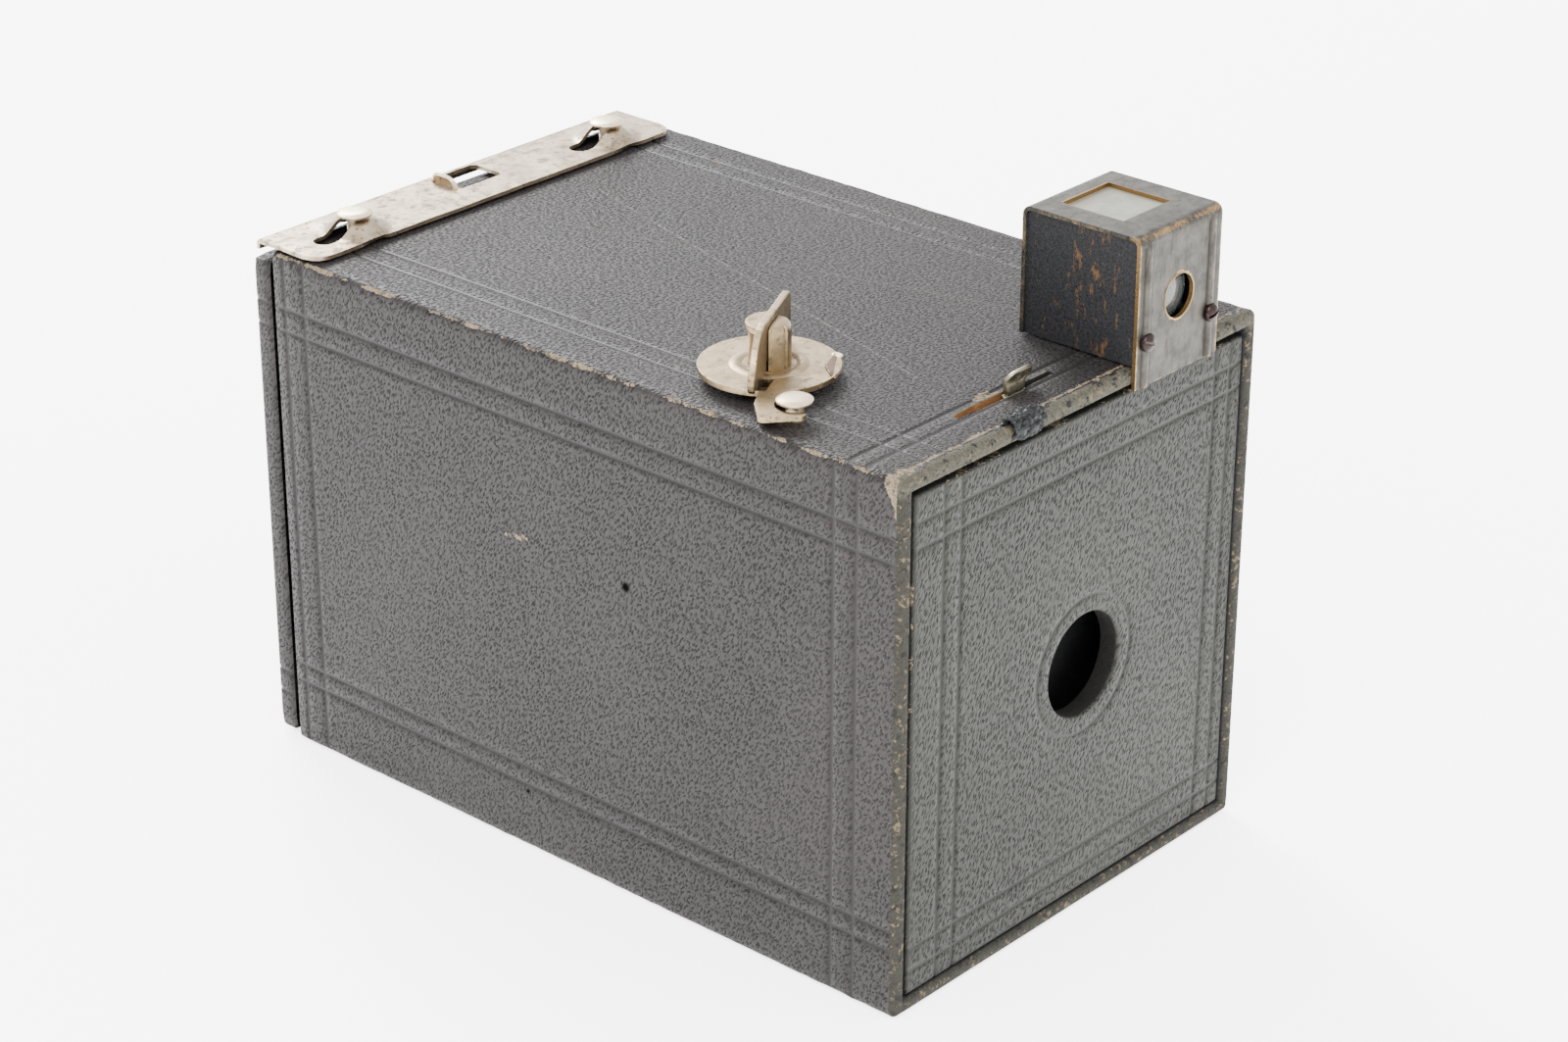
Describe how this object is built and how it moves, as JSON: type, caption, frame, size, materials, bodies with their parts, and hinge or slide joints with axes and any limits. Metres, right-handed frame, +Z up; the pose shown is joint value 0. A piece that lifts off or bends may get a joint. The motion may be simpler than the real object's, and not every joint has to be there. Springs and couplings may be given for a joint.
{
  "type": "box camera",
  "caption": "Box camera for roll film: leatherette-covered box, slide-out film carrier, lift-and-turn winding key, rotary shutter with top lever, clip-on reflecting finder and latched back cap.",
  "frame": {"origin": "middle of the underside of the box, between its front and back edges", "axes": "+Z up, -Y the way the lens looks, +X to the right as seen from in front with the winding key at -X"},
  "size_m": [0.0764, 0.1243, 0.0978],
  "materials": {
    "leatherette": "matt, fine grain, worn to bare board at the edges",
    "wood_board": "plain, blackened on the light side",
    "black_card": "matt black",
    "nickel": "dull worn nickel plate",
    "shutter_metal": "matt black",
    "lever_nickel": "worn nickel plate",
    "spring_wire": "drawn wire",
    "lens_glass": "polished",
    "spool_tin": "black lacquered tin",
    "spool_wood": "turned",
    "film_paper": "dull",
    "red_celluloid": "clear red",
    "finder_brass": "oxidised, bright on the edges",
    "finder_black": "black paint worn in streaks",
    "ground_glass": "ground",
    "looking_glass": "silvered",
    "screw_bronze": "oxidised"
  },
  "bodies": {
    "box": {"box_shell": "leatherette", "front_board": "leatherette", "front_frame": "wood_board", "cleat_left": "wood_board", "cleat_right": "wood_board", "shutter_board": "wood_board", "stop_plate": "shutter_metal", "lens_cell": "shutter_metal", "lens_glass": "lens_glass", "lens_ring": "shutter_metal", "shutter_disc_rivet": "shutter_metal", "shutter_lever_rivet": "shutter_metal", "shutter_lever_spacer": "shutter_metal", "key_eyelet": "nickel", "key_stud": "nickel", "latch_stud_left": "nickel", "latch_stud_right": "nickel"},
    "latch_strip": {"latch_strip": "nickel"},
    "key_washer": {"key_washer": "nickel"},
    "key": {"key_stem": "nickel", "key_plate": "nickel"},
    "film_carrier": {"carrier_top": "wood_board", "carrier_bottom": "wood_board", "carrier_front": "wood_board", "carrier_gate": "black_card", "carrier_cone": "black_card", "supply_pin_top": "spool_tin", "supply_pin_bottom": "spool_tin", "takeup_pin": "spool_tin", "film_strip": "film_paper"},
    "takeup_spool": {"takeup_core": "spool_wood", "takeup_flange_top": "spool_tin", "takeup_flange_bottom": "spool_tin", "takeup_film": "film_paper"},
    "supply_spool": {"supply_core": "spool_wood", "supply_flange_top": "spool_tin", "supply_flange_bottom": "spool_tin", "supply_film": "film_paper"},
    "roller_left": {"roller_left": "spool_wood"},
    "roller_right": {"roller_right": "spool_wood"},
    "back_cap": {"cap_board": "leatherette", "cap_rim": "wood_board", "red_window": "red_celluloid"},
    "shutter_lever": {"shutter_lever": "lever_nickel", "shutter_spring": "spring_wire"},
    "shutter_disc": {"shutter_disc": "shutter_metal"},
    "finder": {"finder_strap": "finder_brass", "finder_body": "finder_black", "finder_glass": "ground_glass", "finder_lens": "lens_glass", "finder_mirror": "looking_glass", "finder_screws": "screw_bronze", "finder_clip": "finder_brass"}
  },
  "joints": [
    {"name": "latch_slide", "type": "slide", "parent": "box", "child": "latch_strip", "axis": [1, 0, 0], "range_m": [0, 0.006]},
    {"name": "key_lift", "type": "slide", "parent": "box", "child": "key_washer", "axis": [0, 0, 1], "range_m": [0, 0.0039]},
    {"name": "key_turn", "type": "hinge", "parent": "key_washer", "child": "key", "pos_m": [-0.0243, -0.0243, 0], "axis": [0, 0, 1], "range_deg": [-320, 0]},
    {"name": "carrier_slide", "type": "slide", "parent": "box", "child": "film_carrier", "axis": [0, 1, 0], "range_m": [0, 0.11]},
    {"name": "takeup_turn", "type": "hinge", "parent": "film_carrier", "child": "takeup_spool", "pos_m": [-0.0243, -0.0243, 0], "axis": [0, 0, 1], "range_deg": [-720, 0]},
    {"name": "supply_turn", "type": "hinge", "parent": "film_carrier", "child": "supply_spool", "pos_m": [0.0243, -0.0243, 0], "axis": [0, 0, 1], "range_deg": [-720, 0]},
    {"name": "roller_left_turn", "type": "hinge", "parent": "film_carrier", "child": "roller_left", "pos_m": [-0.0322, 0.0508, 0], "axis": [0, 0, 1], "range_deg": [0, 3600]},
    {"name": "roller_right_turn", "type": "hinge", "parent": "film_carrier", "child": "roller_right", "pos_m": [0.0322, 0.0508, 0], "axis": [0, 0, 1], "range_deg": [0, 3600]},
    {"name": "cap_pull", "type": "slide", "parent": "film_carrier", "child": "back_cap", "axis": [0, 1, 0], "range_m": [0, 0.04]},
    {"name": "lever_turn", "type": "hinge", "parent": "box", "child": "shutter_lever", "pos_m": [-0.0062, 0, 0.049], "axis": [0, -1, 0], "range_deg": [-10, 17]},
    {"name": "disc_turn", "type": "hinge", "parent": "box", "child": "shutter_disc", "pos_m": [0.0018, 0, 0.0234], "axis": [0, -1, 0], "range_deg": [-55, 33]},
    {"name": "finder_slide", "type": "slide", "parent": "box", "child": "finder", "axis": [0, -1, 0], "range_m": [0, 0.025]}
  ],
  "couplings": [
    {"joint": "takeup_turn", "follows": "key_turn", "ratio": 1},
    {"joint": "supply_turn", "follows": "key_turn", "ratio": 0.59},
    {"joint": "roller_left_turn", "follows": "key_turn", "ratio": -2.08},
    {"joint": "roller_right_turn", "follows": "key_turn", "ratio": -2.08},
    {"joint": "disc_turn", "follows": "lever_turn", "ratio": -3.2}
  ]
}
